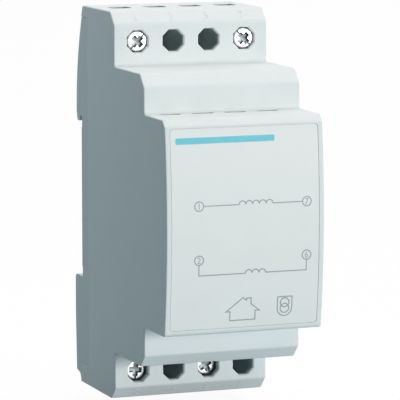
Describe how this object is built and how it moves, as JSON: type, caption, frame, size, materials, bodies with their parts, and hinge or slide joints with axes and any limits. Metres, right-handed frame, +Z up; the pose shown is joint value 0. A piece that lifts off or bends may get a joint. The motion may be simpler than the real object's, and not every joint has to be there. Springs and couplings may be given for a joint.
{
  "type": "safety transformer",
  "caption": "Stepped pale grey safety transformer for a top-hat rail, with recessed screw terminals above and below, a crowned label panel, a rail hook and a sprung latch.",
  "frame": {"origin": "on the face that rests on the rail, at the middle of the width and on the rail's centre line", "axes": "+X to the right seen from the front, +Y from the front towards the rail and the wall, +Z up"},
  "size_m": [0.035, 0.0597, 0.084],
  "materials": {
    "case_plastic": "moulded, fine spark-eroded grain",
    "base_plastic": "moulded, fine grain",
    "label_film": "printed matt film",
    "latch_plastic": "moulded, satin",
    "spring_steel": "drawn wire",
    "core_steel": "stacked silicon steel sheet",
    "bobbin_plastic": "moulded, glass filled",
    "copper": "enamelled copper wire",
    "tape": "polyester tape",
    "lead_sheath": "wire sheath",
    "screw_steel": "bright nickel plate",
    "clamp_steel": "zinc plate",
    "contact_brass": "stamped, plain"
  },
  "bodies": {
    "case": {"housing": "case_plastic", "base": "base_plastic", "front_label": "label_film", "latch_spring": "spring_steel", "core_stack": "core_steel", "bobbin": "bobbin_plastic", "primary_winding": "copper", "secondary_winding": "copper", "primary_tape": "tape", "secondary_tape": "tape", "thermal_fuse": "lead_sheath", "contact_bar_primary_left": "contact_brass", "contact_bar_primary_right": "contact_brass", "lead_primary_right": "lead_sheath", "contact_bar_secondary_left": "contact_brass", "lead_secondary_left": "lead_sheath", "contact_bar_secondary_right": "contact_brass", "lead_secondary_right": "lead_sheath"},
    "latch": {"rail_latch": "latch_plastic"},
    "screw_primary_left": {"terminal_screw_primary_left": "screw_steel"},
    "clamp_primary_left": {"terminal_clamp_primary_left": "clamp_steel"},
    "screw_primary_right": {"terminal_screw_primary_right": "screw_steel"},
    "clamp_primary_right": {"terminal_clamp_primary_right": "clamp_steel"},
    "screw_secondary_left": {"terminal_screw_secondary_left": "screw_steel"},
    "clamp_secondary_left": {"terminal_clamp_secondary_left": "clamp_steel"},
    "screw_secondary_right": {"terminal_screw_secondary_right": "screw_steel"},
    "clamp_secondary_right": {"terminal_clamp_secondary_right": "clamp_steel"}
  },
  "joints": [
    {"name": "latch_slide", "type": "slide", "parent": "case", "child": "latch", "axis": [0, 0, -1], "range_m": [0, 0.004], "stiffness_N_per_m": 800, "springref_m": -0.003, "deforming": ["latch_spring"]},
    {"name": "screw_turn_primary_left", "type": "hinge", "parent": "case", "child": "screw_primary_left", "pos_m": [-0.01215, 0, 0.036], "axis": [0, 1, 0], "range_deg": [0, 2160]},
    {"name": "clamp_rise_primary_left", "type": "slide", "parent": "case", "child": "clamp_primary_left", "axis": [0, -1, 0], "range_m": [0, 0.003]},
    {"name": "screw_turn_primary_right", "type": "hinge", "parent": "case", "child": "screw_primary_right", "pos_m": [0.01215, 0, 0.036], "axis": [0, 1, 0], "range_deg": [0, 2160]},
    {"name": "clamp_rise_primary_right", "type": "slide", "parent": "case", "child": "clamp_primary_right", "axis": [0, -1, 0], "range_m": [0, 0.003]},
    {"name": "screw_turn_secondary_left", "type": "hinge", "parent": "case", "child": "screw_secondary_left", "pos_m": [-0.01215, 0, -0.0355], "axis": [0, 1, 0], "range_deg": [0, 2160]},
    {"name": "clamp_rise_secondary_left", "type": "slide", "parent": "case", "child": "clamp_secondary_left", "axis": [0, -1, 0], "range_m": [0, 0.003]},
    {"name": "screw_turn_secondary_right", "type": "hinge", "parent": "case", "child": "screw_secondary_right", "pos_m": [0.00405, 0, -0.0355], "axis": [0, 1, 0], "range_deg": [0, 2160]},
    {"name": "clamp_rise_secondary_right", "type": "slide", "parent": "case", "child": "clamp_secondary_right", "axis": [0, -1, 0], "range_m": [0, 0.003]}
  ],
  "couplings": [
    {"joint": "screw_turn_primary_left", "follows": "clamp_rise_primary_left", "rad_per_m": 12566},
    {"joint": "screw_turn_primary_right", "follows": "clamp_rise_primary_right", "rad_per_m": 12566},
    {"joint": "screw_turn_secondary_left", "follows": "clamp_rise_secondary_left", "rad_per_m": 12566},
    {"joint": "screw_turn_secondary_right", "follows": "clamp_rise_secondary_right", "rad_per_m": 12566}
  ]
}
